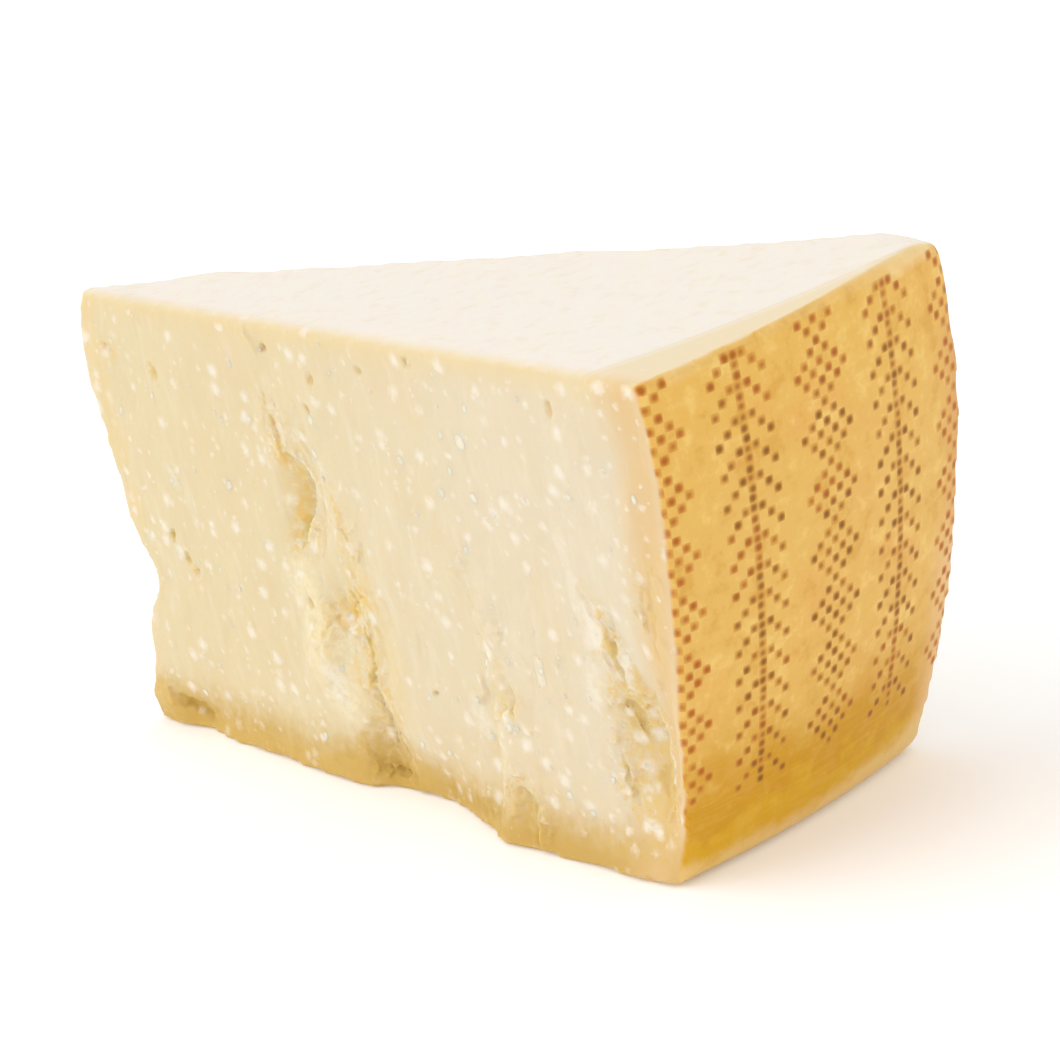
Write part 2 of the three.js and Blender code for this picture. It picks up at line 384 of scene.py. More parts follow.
frontMarks = {
    "seed": 5,
    "wideFlakes": {"count": 150, "length": 11, "wide": 9, "height": 0.3, "lean": 22},
    "cragFlakes": {"count": 200, "length": 3.6, "wide": 2.8, "height": 0.8, "lean": 50, "stray": 4},
    "cracks": [
        (0.8, 0.5, 0.4, [(76, 95.5), (77.3, 92.4), (78.6, 89.3), (80, 85.7), (79.9, 80.8)]),
        (0.8, 0.3, 0.6, [(94.6, 73.4), (95.8, 71.7), (98, 66), (100.3, 61.7), (102, 56)]),
        (0.7, 0.3, 1, [(101.5, 48.6), (98.5, 47.6), (94, 46), (90.5, 43.6), (87.6, 39.6)]),
        (0.75, 0.35, 1, [(93.6, 43.4), (89.6, 42.6), (86, 40.6), (83.4, 38), (82, 35.6)]),
        (0.65, 0.45, 1, [(93, 41), (94.3, 39.5), (96.3, 36.6), (97.8, 34.1), (98.3, 31.4), (96.8, 27.8)]),
        (0.8, 0.6, 1, [(97.5, 24.5), (98.4, 20), (97.2, 15.5), (98.6, 10.5)]),
        (2.2, 0.7, 1, [(101.5, 5.4), (97, 4.6), (92.8, 5)]),
        (0.75, 0.45, 1, [(186, 58), (187, 55.3), (188.4, 52.2), (190.1, 48.5), (191, 45)]),
        (2.2, 0.8, 1, [(11.5, 9), (14, 7.2), (17.1, 5.6), (21, 3)]),
        (1.4, 0.2, 0.4, [(208.6, 76), (206.4, 66), (205, 59), (203.4, 52)]),
        (0.8, 0.5, 1, [(185, 29), (185.5, 22.5), (187.4, 17.4)]),
        (0.8, 0.45, 1, [(197.2, 27.5), (196.9, 25.1), (196, 21)]),
        (0.7, 0.35, 1, [(188.6, 43), (190.6, 39.4), (192.4, 35.8)]),
    ],
    "steps": [
        (1.6, 7, 0.6, 6, 1, [(79.8, 81.4), (82.6, 80), (84.2, 76.7), (86.2, 73.6), (84.8, 70.8),
            (83.2, 66), (82, 62.5), (78.3, 57)]),
        (1, 9, 0.5, 6, 1, [(99.5, 24.5), (100.6, 21.5), (101.8, 18.5), (102, 12.7), (103.2, 7)]),
        (0.6, 7, 0.5, 5, 0.25, [(141, 62), (144.4, 52), (145.8, 45), (145.4, 36), (143.4, 26),
            (140.6, 15), (142.2, 8.4), (143.4, -3)]),
        (0.9, 5, 0.3, 4, 0.4, [(149.6, 40), (152.4, 38), (154.2, 34.6), (152.6, 31.4), (148, 29.8)]),
        (0.8, 9, 0.3, 3, 1, [(147, 13.6), (150.6, 13.2), (154.3, 11.4), (154.4, 6.4), (155.4, -3)]),
        (1.1, 9, 0.6, 2.6, 1, [(188.5, 46.4), (193.6, 43), (197, 36.8), (197.4, 31), (199.4, 26.2),
            (198.6, 20.5), (194, 14.6)]),
    ],
    "domes": [
        (79.5, 33, 6.5, 11, 16, 1.3), (90.2, 38.8, 1.9, 1.9, 0, 1.5), (6, 6.5, 7, 4.6, 0, 1),
        (8.6, 98.1, 1.8, 1.3, 0, -0.4), (28, 94.1, 1.5, 2, -20, -0.45), (80.1, 105, 1.3, 1.3, 0, -0.4),
        (94.2, 94.2, 1, 1.3, 0, -0.35), (98.4, 100.1, 1.5, 1.9, 20, -0.5), (117, 104.3, 1.2, 1, 0, -0.35),
        (137, 108.4, 1.3, 1, 0, -0.35), (184.1, 104.2, 1, 1.4, 0, -0.4), (23, 52.1, 0.9, 2, 0, -0.35),
        (27.4, 48.1, 1.1, 1.5, 0, -0.35), (31, 43.9, 1.4, 2.2, 0, -0.4), (78.1, 43.1, 1.2, 1.2, 0, -0.45),
        (97, 28.4, 1.6, 1.4, 0, -1), (121.8, 29.4, 0.9, 0.9, 0, -0.5), (187.6, 54, 1.6, 2.4, -20, -0.5),
        (190.4, 37.1, 2.6, 3.6, -10, -0.4), (194, 22.3, 1.8, 4.2, 0, -0.5),
    ],
}

backMarks = {
    "seed": 23,
    "wideFlakes": {"count": 150, "length": 12, "wide": 9, "height": 0.4, "lean": 26},
    "cragFlakes": {"count": 120, "length": 5, "wide": 4, "height": 1.1, "lean": 50, "stray": 4},
    "cracks": [
        (1.3, 1.8, 1, [(55, 92), (58, 84), (57, 76), (61, 68)]),
        (1.5, 2.2, 1, [(150, 98), (154, 90), (152, 83), (157, 76)]),
        (2.4, 2, 1, [(120, 5), (130, 7.5), (139, 6)]),
        (1.3, 1.8, 1, [(186, 46), (189, 38), (188, 30)]),
    ],
    "steps": [
        (2.4, 8, 0.7, 6, 1, [(60, 70), (66, 69), (70, 64), (69, 57), (66, 50), (60, 44)]),
        (2.2, 10, 0.6, 6, 1, [(156, 92), (163, 88), (168, 80), (167, 71), (161, 62)]),
        (1.8, 7, 0.5, 5, 1, [(82, 38), (87, 34), (88, 28), (84, 20)]),
        (0.8, 7, 0.5, 5, 1, [(97, 82), (101, 66), (103.5, 50), (104, 38), (102, 24), (96, -3)]),
        (1.5, 8, 0.5, 3, 1, [(190, 42), (196, 40), (199, 32), (197, 22), (191, 15)]),
    ],
    "domes": [
        (84, 88, 1.4, 1.8, 0, -0.9), (36, 74, 1.3, 1.6, 0, -0.8), (122, 96, 1.2, 1.2, 0, -0.7),
        (176, 60, 1.5, 2.2, 0, -0.8), (134, 44, 5, 8, 14, 0.9),
    ],
}

relief = {
    "deepest": 5.0,  # mm, for a full weight of the groups
    "raggedSeed": 7,
    "ragged": ((7.0, 1.6), (2.2, 0.7)),  # mm, size and reach of the waves in a mark's outline
    "lumpSize": 11.0, "lumpHeight": 0.6,
    "stretch": 2.2,  # the cells stand this much taller than wide
    # vertex group, name, size and height in mm
    "cells": [
        ("grainy", "flakes", 6.0, 0.6),
        ("grainy", "grains", 2.2, 0.35),
        ("rough", "rough", 2.6, 1.8),
        ("rough", "crumbs", 1.3, 0.9),
    ],
}


# How far points are from a path, the same with a sign that is positive on the path's left, and
# how far down the path they are, from 0 to 1.
def besidePath(path, along, up):
    gap = np.full(len(along), 1e9)
    side = np.ones(len(along))
    share = np.zeros(len(along))
    lengths = [math.dist(a, b) for a, b in zip(path, path[1:])]
    walked = 0
    for (startA, startU), (endA, endU), length in zip(path, path[1:], lengths):
        dirA, dirU = (endA - startA) / length, (endU - startU) / length
        across, climb = along - startA, up - startU
        down = np.clip(across * dirA + climb * dirU, 0, length)
        distance = np.hypot(across - down * dirA, climb - down * dirU)
        closer = distance < gap
        gap = np.where(closer, distance, gap)
        side = np.where(closer, np.where(dirA * climb - dirU * across > 0, 1, -1), side)
        share = np.where(closer, (walked + down) / sum(lengths), share)
        walked += length
    return gap, gap * side, share


# Flakes that lie over each other like shingles. Each climbs towards one edge and drops off there.
def flakeHeights(look, seed, along, up, paths=()):
    chance = random.Random(seed)
    height = np.zeros(len(along))
    for _ in range(look["count"]):
        if paths:
            spot = chance.choice(chance.choice(paths))
            middleA, middleU = [part + chance.gauss(0, look["stray"]) for part in spot]
        else:
            middleA, middleU = [chance.uniform(0, wheel[key]) for key in ("faceLength", "faceHeight")]
        turn = math.radians(chance.choice((0, 180)) + chance.gauss(8, look["lean"]))
        length, wide = [look[key] * chance.uniform(0.5, 1.4) for key in ("length", "wide")]
        tall = look["height"] * chance.uniform(0.4, 1.0)
        near = np.hypot(along - middleA, up - middleU) < length + wide
        across, climb = along[near] - middleA, up[near] - middleU
        run = (across * math.cos(turn) + climb * math.sin(turn)) / length + 0.5
        beside = np.abs(climb * math.cos(turn) - across * math.sin(turn)) / wide
        bow = run + 0.35 * beside ** 2
        rise = np.clip(bow, 0, 1) * smooth(bow, 1.12, 1.0) * smooth(beside, 1.0, 0.72)
        height[near] = np.maximum(height[near], rise * tall)
    return height


# At points of a face: the height of all marks, how deep in a hollow a point lies, and how near it
# is to a mark and to a crag.
def markHeights(marks, along, up):
    height, hollow, near, crag = np.zeros((4, len(along)))
    for wide, deep, cragShare, path in marks["cracks"]:
        gap, _, down = besidePath(path, along, up)
        ends = np.sin(math.pi * np.clip(down, 0.02, 0.98)) ** 0.5
        knots = 0.8 + 0.25 * np.sin(up * 2.1) + 0.2 * np.sin(along * 1.7 + up)
        cut = smooth(gap, wide * (0.4 + 0.8 * ends) * knots, 0) * ends
        height -= deep * cut
        hollow = np.maximum(hollow, cut * min(1, deep / 1.2))
        near = np.maximum(near, smooth(gap, 5, 2))
        crag = np.maximum(crag, smooth(gap, 7, 2) * cragShare)
    for deep, reach, lip, lipReach, cragShare, path in marks["steps"]:
        gap, signed, down = besidePath(path, along, up)
        ends = np.sin(math.pi * np.clip(down, 0, 1)) ** 0.6
        below = np.exp(-gap / (reach * 0.5)) * smooth(signed, 0.45, -0.45)
        above = np.exp(-gap / (lipReach * 0.5)) * smooth(signed, -0.45, 0.45)
        height += ends * (lip * above - deep * below)
        hollow = np.maximum(hollow, ends * below * min(1, deep / 3.4))
        near = np.maximum(near, smooth(gap, 5, 2))
        crag = np.maximum(crag, smooth(gap, 8, 2) * cragShare)
    for middleA, middleU, wide, tall, tilt, high in marks["domes"]:
        cosine, sine = math.cos(math.radians(tilt)), math.sin(math.radians(tilt))
        across, climb = along - middleA, up - middleU
        shareA, shareU = (across * cosine - climb * sine) / wide, (across * sine + climb * cosine) / tall
        bump = np.clip(1 - (shareA ** 2 + shareU ** 2) / 1.8, 0, 1) ** 2
        height += high * bump
        if high < 0:
            hollow = np.maximum(hollow, bump * 0.8)
        near = np.maximum(near, smooth(bump, 0, 0.1))
    paths = [mark[-1] for mark in marks["cracks"] + marks["steps"]]
    height += flakeHeights(marks["wideFlakes"], marks["seed"], along, up)
    small = flakeHeights(marks["cragFlakes"], marks["seed"] + 1, along, up, paths)
    height += small
    near = np.maximum(near, smooth(small, 0.05, 0.2))
    crag = np.maximum(crag, near * 0.3)
    return height, hollow, near, crag


# An offset in mm for every point, so that the outlines of marks are ragged.
def waver(points, look):
    seed_set(look["raggedSeed"])
    offsets = np.zeros((len(points), 3))
    for size, reach in look["ragged"]:
        for index, point in enumerate(points):
            offsets[index] += np.array(noise_vector(Vector(point / size))) * reach
    return offsets


# The places of a piece's points with the marks there, and where the marks of each side see them.
def readMarks(piece, look):
    place = readPlaces(piece)
    offset = waver(place["points"], look)
    calm = place["broken"] * smooth(place["rindDepth"], 0.4, 3.5) * smooth(place["up"], 0, 1.5)
    values = []
    for side, marks in (("front", frontMarks), ("back", backMarks)):
        place[side + "Spot"] = place[side][0] + offset[:, 0], place["up"] + offset[:, 2]
        values.append(markHeights(marks, *place[side + "Spot"]))
    for label, front, back in zip(("height", "hollow", "near", "crag"), *values):
        place[label] = np.where(place["isFront"], front, back) * calm
    return place


# Halves the faces whose corners are all picked.
def refine(piece, picked):
    flags = [all(picked[v] for v in face.vertices) for face in piece.data.polygons]
    switchMode("EDIT")
    bpy.ops.mesh.select_mode(type="FACE")
    bpy.ops.mesh.select_all(action="DESELECT")
    switchMode("OBJECT")
    piece.data.polygons.foreach_set("select", flags)
    switchMode("EDIT")
    bpy.ops.mesh.subdivide(number_cuts=1)
    switchMode("OBJECT")


# Both sides of the front's edge at the rind are refined alike, so that it stays even.
def nearSeam(place, reach):
    return (place["rindDepth"] < reach) & (np.abs(place["front"][1]) < reach)


marked = readMarks(chunk, relief)
atMarks = marked["broken"] & (marked["isFront"] | (marked["near"] > 0.3))
refine(chunk, nearSeam(marked, 3) | atMarks)
marked = readMarks(chunk, relief)
refine(chunk, nearSeam(marked, 1.5) | marked["isFront"] & (marked["near"] > 0.75))
print("finer mesh at the marks:", len(chunk.data.polygons), "faces")


# Stains, painted shade and painted highlight, as colour, half width in mm, strength, and the path they
# follow

frontStainsAndShading = [
    ("amber", 1.5, 0.9, [(79.9, 80.1), (80.5, 77.3), (81.6, 73.4)]),
    ("honey", 1.8, 0.8, [(79.9, 70.3), (79.3, 66.9), (79.5, 64)]),
    ("amber", 3.4, 0.4, [(79.3, 78.3), (79.6, 73.4), (78.3, 67.1), (79.4, 62.4)]),
    ("amber", 1.2, 0.9, [(95.8, 71.7), (97.9, 69.2)]), ("amber", 1.2, 0.45, [(97.9, 69.2), (100.3, 61.7)]),
    ("amber", 4, 0.35, [(96.4, 57.2), (95.1, 49.1), (101.3, 48.4)]),
    ("amber", 3, 0.7, [(98.9, 48.2), (89.3, 44.2), (85.5, 40.6), (82.6, 36.9)]),
    ("honey", 0.8, 1, [(101.5, 48.6), (94, 46), (90.5, 43.6), (87.6, 39.6)]),
    ("honey", 0.9, 1, [(93.6, 43.4), (89.6, 42.6), (86, 40.6), (83.4, 38), (82, 35.6)]),
    ("amber", 2.2, 0.5, [(95.6, 38.8), (97.9, 32.6)]), ("amber", 2.8, 0.6, [(90.8, 29.6), (90.7, 27.3)]),
    ("amber", 2, 0.9, [(193.4, 25.2), (194.2, 19.6)]),
    ("amber", 6, 0.8, [(191, 42), (192, 31.3), (192, 20.2), (193, 14)]),
    ("amber", 7, 0.3, [(99, 54), (104, 40), (105, 24)]), ("gold", 7, 0.35, [(96, 21), (99, 11), (104, 4)]),
    ("gold", 5, 0.5, [(196, 8), (205, 4)]), ("amber", 1.7, 0.9, [(187, 55.3), (188.4, 52.2)]),
    ("amber", 1.3, 0.7, [(205.8, 63.5), (204.9, 57.8)]), ("amber", 2.4, 0.3, [(209, 76.1), (204, 54.9)]),
    ("amber", 0.9, 0.7, [(153.8, 36.7), (154.2, 33.6), (152, 31), (148.6, 30)]),
    ("amber", 2.8, 0.6, [(7.1, 98.4), (9.9, 97.9)]), ("amber", 1.5, 0.5, [(27.2, 94.7), (28.9, 93.7)]),
    ("amber", 1.6, 0.8, [(29.8, 45.1), (32, 42.6)]),
    ("straw", 4, 0.6, [(0.7, 108), (2.6, 84.2), (7.6, 66.9), (8, 54)]),
    ("gold", 4.6, 0.5, [(148.2, 11.1), (149.2, 7.4)]), ("gold", 3.6, 0.5, [(174.1, 6.9), (187.2, 7.2)]),
    ("gold", 4.4, 0.9, [(5.3, 9.1), (8.3, 4.1)]), ("gold", 2.4, 0.8, [(88.5, 11.3), (89.5, 10)]),
    ("gold", 3.2, 0.6, [(17.4, 1.6), (62.2, 3.5), (91.4, 3.3)]),
    ("olive", 2.8, 0.45, [(146.3, 35.4), (150.8, 33.3)]), ("olive", 1, 0.6, [(22.6, 52.8), (23.3, 51.3)]),
    ("olive", 1.2, 0.5, [(26.7, 48.7), (28, 47.4)]), ("olive", 0.9, 0.9, [(81.1, 62.1), (78.5, 57.6)]),
    ("olive", 1.3, 0.8, [(77.7, 43.6), (78.5, 42.7)]),
    ("olive", 0.8, 0.7, [(94.3, 39.5), (96.3, 36.6), (97.8, 34.1), (98.3, 31.4)]),
    ("olive", 1.5, 1, [(96.7, 29), (97.3, 27.8)]),
    ("olive", 0.8, 0.8, [(150.4, 13.2), (154.3, 11.4), (154.4, 7.2)]),
    ("olive", 2.2, 0.4, [(189.8, 39.8), (190.6, 34.2)]),
    ("olive", 0.8, 0.8, [(185.1, 25.9), (185.7, 21.8), (186.8, 19.8)]),
    ("olive", 1, 0.5, [(188.4, 52.2), (191, 45.1)]),
    # the brown marks are painted shade deep in the cracks and the hollows at the foot
    ("shadeBrown", 2.2, 0.7, [(13.5, 7.6), (17.1, 5.9), (20.2, 3.4)]),
    ("amber", 0.6, 0.6, [(77.3, 92.4), (78.6, 89.3), (80, 85.7), (79.9, 81.6)]),
    # painted shade: brown deep in the foot hollows and in a crack of the right crag
    ("shadeBrown", 5, 0.4, [(93.2, 11.7), (98, 5.2)]), ("shadeBrown", 2.6, 0.5, [(92, 5.2), (101, 4.8)]),
    ("shadeBrown", 2.4, 0.7, [(117.4, 3), (141.1, 5.8)]), ("shadeBrown", 0.5, 0.9, [(196.9, 25.1), (196.2, 21.9)]),
    ("cream", 6, 0.6, [(76.2, 49.3), (81.7, 36.5), (86, 21)]),
    ("pale", 2.2, 0.4, [(179.1, 75), (179.9, 61.9), (182.7, 53.6)]),
    ("pale", 2.4, 0.9, [(83, 29.1), (84.4, 22.2)]), ("pale", 0.9, 0.8, [(82.6, 80), (86.2, 73.6)]),
    ("pale", 0.9, 0.7, [(84.6, 71), (82.6, 64.8)]), ("pale", 0.8, 0.6, [(80.1, 92.1), (81.9, 84)]),
    ("pale", 1.9, 1, [(146.3, 45.3), (146.6, 44.1)]), ("pale", 2.8, 0.7, [(136.4, 29.2), (137.6, 24.3)]),
    ("pale", 1.4, 0.8, [(150.5, 28.1), (151, 27.4)]), ("pale", 1.2, 0.8, [(163.5, 45.8), (163.9, 41.4)]),
    ("pale", 2.2, 1, [(183.9, 60), (183.4, 53.8)]), ("pale", 2.8, 0.6, [(181.9, 47), (180.9, 40.1)]),
    ("pale", 1.4, 0.9, [(189.3, 32.5), (189.8, 31.8)]), ("pale", 1.6, 0.8, [(189.8, 24.9), (190.1, 24)]),
    ("pale", 1.6, 1, [(188.4, 12.7), (191.6, 12.1)]),
    # painted highlight: a pale line along the lit lip of the right crag's step
    ("pale", 0.8, 0.9, [(197, 36.8), (197.2, 31.1), (199.8, 26.2), (198.7, 20.5)]),
    ("pale", 0.9, 0.7, [(191.7, 50.4), (191.8, 43.5)]), ("pale", 1.6, 1, [(89.7, 39.3), (90.4, 38.7)]),
    ("pale", 1.8, 0.5, [(29.5, 68.9), (30.7, 67.5)]),
]

backStainsAndShade = [
    ("amber", 3, 0.6, [(62, 66), (65, 58), (63, 50)]),
    ("amber", 3.4, 0.6, [(160, 88), (164, 79), (162, 70)]), ("amber", 2.6, 0.7, [(83, 34), (85, 26)]),
    # the brown marks are painted shade deep in the cracks
    ("amber", 2.6, 0.7, [(193, 36), (194, 24)]), ("shadeBrown", 0.8, 0.8, [(57, 80), (59, 70)]),
    ("shadeBrown", 0.9, 0.8, [(153, 88), (155, 79)]), ("shadeBrown", 2.4, 0.8, [(124, 5), (136, 6)]),
    ("gold", 3.2, 0.6, [(14, 3), (70, 3.5), (112, 3)]), ("gold", 3.6, 0.5, [(160, 5), (188, 5)]),
    ("olive", 1.4, 0.8, [(68, 52), (66, 48)]), ("olive", 2, 0.8, [(190, 33), (190.5, 29)]),
    ("pale", 4.6, 0.5, [(54, 52), (58, 38)]), ("pale", 2.4, 0.8, [(150, 66), (153, 58)]),
    ("pale", 1.8, 0.9, [(104.5, 55), (105, 52)]), ("pale", 2, 0.8, [(76, 24), (78, 17)]),
    ("pale", 1.2, 0.8, [(200, 38), (201, 24)]),
]

stainAndShadingColours = {
    "amber": (226, 194, 122), "honey": (232, 194, 102), "gold": (212, 176, 96),
    # brown is painted shade deep in cracks and hollows
    "olive": (212, 186, 108), "shadeBrown": (190, 152, 66), "straw": (228, 204, 146),
    "cream": (240, 228, 192), "pale": (236, 226, 206),
}


def setAttribute(piece, name, values, kind="FLOAT", label="value"):
    attribute = piece.data.attributes.new(name, kind, "POINT")
    attribute.data.foreach_set(label, values.astype(np.float32).ravel())


# Share and linear colour of the stains, painted shade and painted highlight at points of a face, one laid
# over the other.
def stainsAndShadingAt(stains, along, up):
    tone = np.zeros((len(along), 3))
    share = np.zeros(len(along))
    for name, wide, strength, path in stains:
        cover = strength * smooth(besidePath(path, along, up)[0], wide * 1.35, wide * 0.45)
        tone = tone * (1 - cover[:, None]) + np.array(colour(*stainAndShadingColours[name])[:3]) * cover[:, None]
        share = share * (1 - cover) + cover
    return tone, share


# The stain attribute: the colours of both faces' stains, painted shade and painted highlight, and their
# share as alpha.
def paintStainsAndShading(piece, place):
    frontTone, frontShare = stainsAndShadingAt(frontStainsAndShading, *place["frontSpot"])
    backTone, backShare = stainsAndShadingAt(backStainsAndShade, *place["backSpot"])
    isFront = place["isFront"]
    share = np.where(isFront, frontShare, backShare)
    tone = np.where(isFront[:, None], frontTone, backTone) / np.maximum(share, 0.001)[:, None]
    share = share * smooth(place["rindDepth"], 0.6, 3)
    setAttribute(piece, "stain", np.column_stack([tone, share]), "FLOAT_COLOR", "color")


# Presses in the marks and the grain, and keeps what the materials need as attributes.
def breakSurface(piece, place, look):
    depth, up, height = place["rindDepth"], place["up"], place["height"]
    # the white of the top cut, its own dry white with painted highlight in it, starts a little inside the
    # front edge
    topShare = smooth(place["normals"][:, 2], 0.5, 0.96) * smooth(up, 98, 106)
    topShare *= 0.35 + 0.65 * smooth(np.abs(place["front"][1]), 0.0, 4.0)
    rough = np.clip(place["hollow"] * 1.5 + place["crag"] * 0.35, 0, 1) * place["broken"]
    rough = rough * smooth(depth, 0.6, 4) * smooth(up, 0.5, 4)
    grainy = place["broken"] * (1 - 0.85 * topShare) * smooth(depth, 0.6, 7) * smooth(up, 0.5, 6)
    weightGroup(piece, "pressed_in", -height / look["deepest"])
    weightGroup(piece, "standing_out", height / look["deepest"])
    weightGroup(piece, "grainy", grainy + place["isTop"] * 0.15)
    weightGroup(piece, "rough", rough)
    # the hollow attribute also carries the painted shade of the hollows
    for name, share in (("hollow", place["hollow"]), ("crag", place["crag"]), ("topShare", topShare)):
        setAttribute(piece, name, np.clip(share, 0, 1))
    for group, strength in (("pressed_in", -look["deepest"]), ("standing_out", look["deepest"])):
        useModifier(piece, "DISPLACE", vertex_group=group, strength=strength * mm, mid_level=0)

    lumps = bpy.data.textures.new("lumps", "CLOUDS")
    lumps.noise_scale = look["lumpSize"] * mm
    lumps.noise_depth = 2
    useModifier(piece, "DISPLACE", vertex_group="grainy", texture=lumps, texture_coords="LOCAL",
                strength=look["lumpHeight"] * mm, mid_level=0.5)
    bpy.ops.object.empty_add(location=(0, 0, 0))
    upright = bpy.context.object
    upright.scale = (1, 1, look["stretch"])
    bpy.context.view_layer.update()
    selectOnly(piece)
    for group, name, size, tall in look["cells"]:
        cells = bpy.data.textures.new(name, "VORONOI")
        cells.noise_scale = size * mm
        cells.weight_1, cells.weight_2 = -1.0, 1.0
        useModifier(piece, "DISPLACE", vertex_group=group, texture=cells, texture_coords="OBJECT",
                    texture_coords_object=upright, strength=tall * mm, mid_level=0.3)
    bpy.data.objects.remove(upright)


marked = readMarks(chunk, relief)
paintStainsAndShading(chunk, marked)
breakSurface(chunk, marked, relief)
chunkPlace = readPlaces(chunk)
print("marks and grain pressed in")


# White crystals in the broken faces, as (along, up, half width) in mm; more are strewn between

crystalLook = {
    "seed": 31,
    "cube": 1.16,  # side of what a crystal of half width 1 is shaped from
    "uneven": 0.16,
    "flatness": 0.24,  # of the half width
    "sunk": 0.15,
    "front": [
        (150.6, 92.2, 2.2), (68.2, 87, 1.3), (95, 90.4, 1.4), (91.9, 81.2, 1.5), (144, 85.2, 1.4),
        (139.4, 79.4, 1.4), (150.7, 79.9, 1.5), (156.5, 77, 1), (28.8, 66.9, 1.3), (54.3, 69.5, 1.3),
        (126, 84.5, 1.3), (185.6, 85.8, 1.2), (113, 15.6, 1.2), (122, 15.1, 1.1), (118.9, 27.9, 1),
        (150.6, 27.8, 1.2), (163.6, 43.4, 1.2),
    ],
    "back": [(44, 90, 1.6), (98, 84, 1.5), (140, 92, 1.7), (172, 46, 1.3), (120, 58, 1.5)],
    "strewn": 100,  # on each broken face
    "strewnAlong": (4, 208), "strewnUp": (9, 109), "strewnHalf": (0.55, 1.25),
    "underRind": 4,  # mm, none lie nearer to the rind
    "mostCrag": 0.6,  # share of crag that still takes one
    "furthest": 1.5,  # mm, a crystal is left out where no open spot is this near
    "colour": (246, 232, 203),
    "finish": {
        "Roughness": 0.6, "Specular IOR Level": 0.35, "Subsurface Weight": 0.4,
        "Subsurface Radius": (1.0, 0.7, 0.5), "Subsurface Scale": 0.003,
    },
}


def makeCrystal(look):
    bpy.ops.object.select_all(action="DESELECT")
    bpy.ops.mesh.primitive_cube_add(size=look["cube"] * mm)
    crystal = bpy.context.object
    switchMode("EDIT")
    bpy.ops.mesh.subdivide(number_cuts=1, smoothness=1.0)
    bpy.ops.transform.vertex_random(offset=look["uneven"] * mm, seed=look["seed"])
    bpy.ops.transform.resize(value=(1, 1, look["flatness"]))
    switchMode("OBJECT")
    bpy.ops.object.shade_smooth()
    return crystal


# Small crystals are the most common.
def strewnPlace(look, chance):
    small, large = look["strewnHalf"]
    half = small + (large - small) * chance.random() ** 2.2
    return chance.uniform(*look["strewnAlong"]), chance.uniform(*look["strewnUp"]), half


def strewCrystals(piece, place, look):
    chance = random.Random(look["seed"])
    crystal = makeCrystal(look)
    crag = readAll(piece.data.attributes["crag"].data, "value", kind=np.float32)
    openSpots = place["broken"] & (place["rindDepth"] > look["underRind"]) & (crag < look["mostCrag"])
    copies = []
    for side, onSide in (("front", place["isFront"]), ("back", ~place["isFront"])):
        spots = np.flatnonzero(openSpots & onSide)
        along, up = place[side][0][spots], place["up"][spots]
        strewn = [strewnPlace(look, chance) for _ in range(look["strewn"])]
        for aimAlong, aimUp, half in look[side] + strewn:
            gap = np.hypot(along - aimAlong, up - aimUp)
            nearest = int(np.argmin(gap))
            narrow, turn = chance.uniform(0.65, 0.95), chance.uniform(-30, 30)
            if gap[nearest] > look["furthest"]:
                continue
            normal = Vector(place["normals"][spots[nearest]])
            seat = Vector(place["points"][spots[nearest]]) * mm - normal * half * look["sunk"] * mm
            turned = normal.to_track_quat("Z", "Y").to_matrix().to_4x4()
            turned = turned @ Matrix.Rotation(math.radians(turn), 4, "Z")
            copy = crystal.copy()
            copy.data = crystal.data.copy()
            size = Matrix.Diagonal((half * narrow, half, half, 1))
            copy.data.transform(Matrix.Translation(seat) @ turned @ size)
            bpy.context.scene.collection.objects.link(copy)
            copies.append(copy)
    bpy.data.objects.remove(crystal)
    selectOnly(copies[0])
    for copy in copies:
        copy.select_set(True)
    bpy.ops.object.join()
    crystals = bpy.context.object
    crystals.name = "white_crystals"
    return crystals


crystals = strewCrystals(chunk, chunkPlace, crystalLook)
print("crystals strewn:", len(crystals.data.polygons), "faces")


# Materials

# Depth under the rind, height and angle round the wheel, in mm and degrees, of any place.
def makeWheelPlace():
    group, takes, gives = newGroup("wheel_place", ["Place"], ["Depth", "Height", "Angle"])
    split = addNode("SeparateXYZ", {0: takes["Place"]}).outputs
    x, y, up = [times(part, 1 / mm) for part in split]
    x, y = minus(x, wheel["axis"][0]), minus(y, wheel["axis"][1])
    below = larger(over(minus(wheel["halfHeight"], up), wheel["halfHeight"]), 0.0)
    radius = minus(wheel["radius"], times(maths("POWER", below, wheel["curve"]), wheel["drawIn"]))
    feed(gives["Depth"], minus(radius, hypotenuse(x, y)))
    feed(gives["Height"], up)
    feed(gives["Angle"], maths("DEGREES", maths("ARCTAN2", y, x)))
    return group


# White specks of many sizes.
def makeSpecks(look):
    group, takes, gives = newGroup("white_specks", ["Place", "Cells", "Size", "Share"], ["Mask"])
    # the outline of every speck is a little ragged
    stir = noise(takes["Place"], 700).node.outputs["Color"]
    sources = {0: stir, 1: (look["speckFray"] * mm,) * 3, 2: takes["Place"]}
    shift = addNode("VectorMath", sources, operation="MULTIPLY_ADD").outputs[0]
    cells = addNode("TexVoronoi", {"Vector": shift, "Scale": takes["Cells"]}).outputs
    draw = addNode("SeparateColor", {0: cells["Color"]}).outputs
    size = times(takes["Size"], ramp(draw[1], 0, 1, 0.5, 1))
    spot = ramp(cells["Distance"], size, times(size, 0.12))
    feed(gives["Mask"], times(spot, maths("LESS_THAN", draw[0], takes["Share"])))
    return group


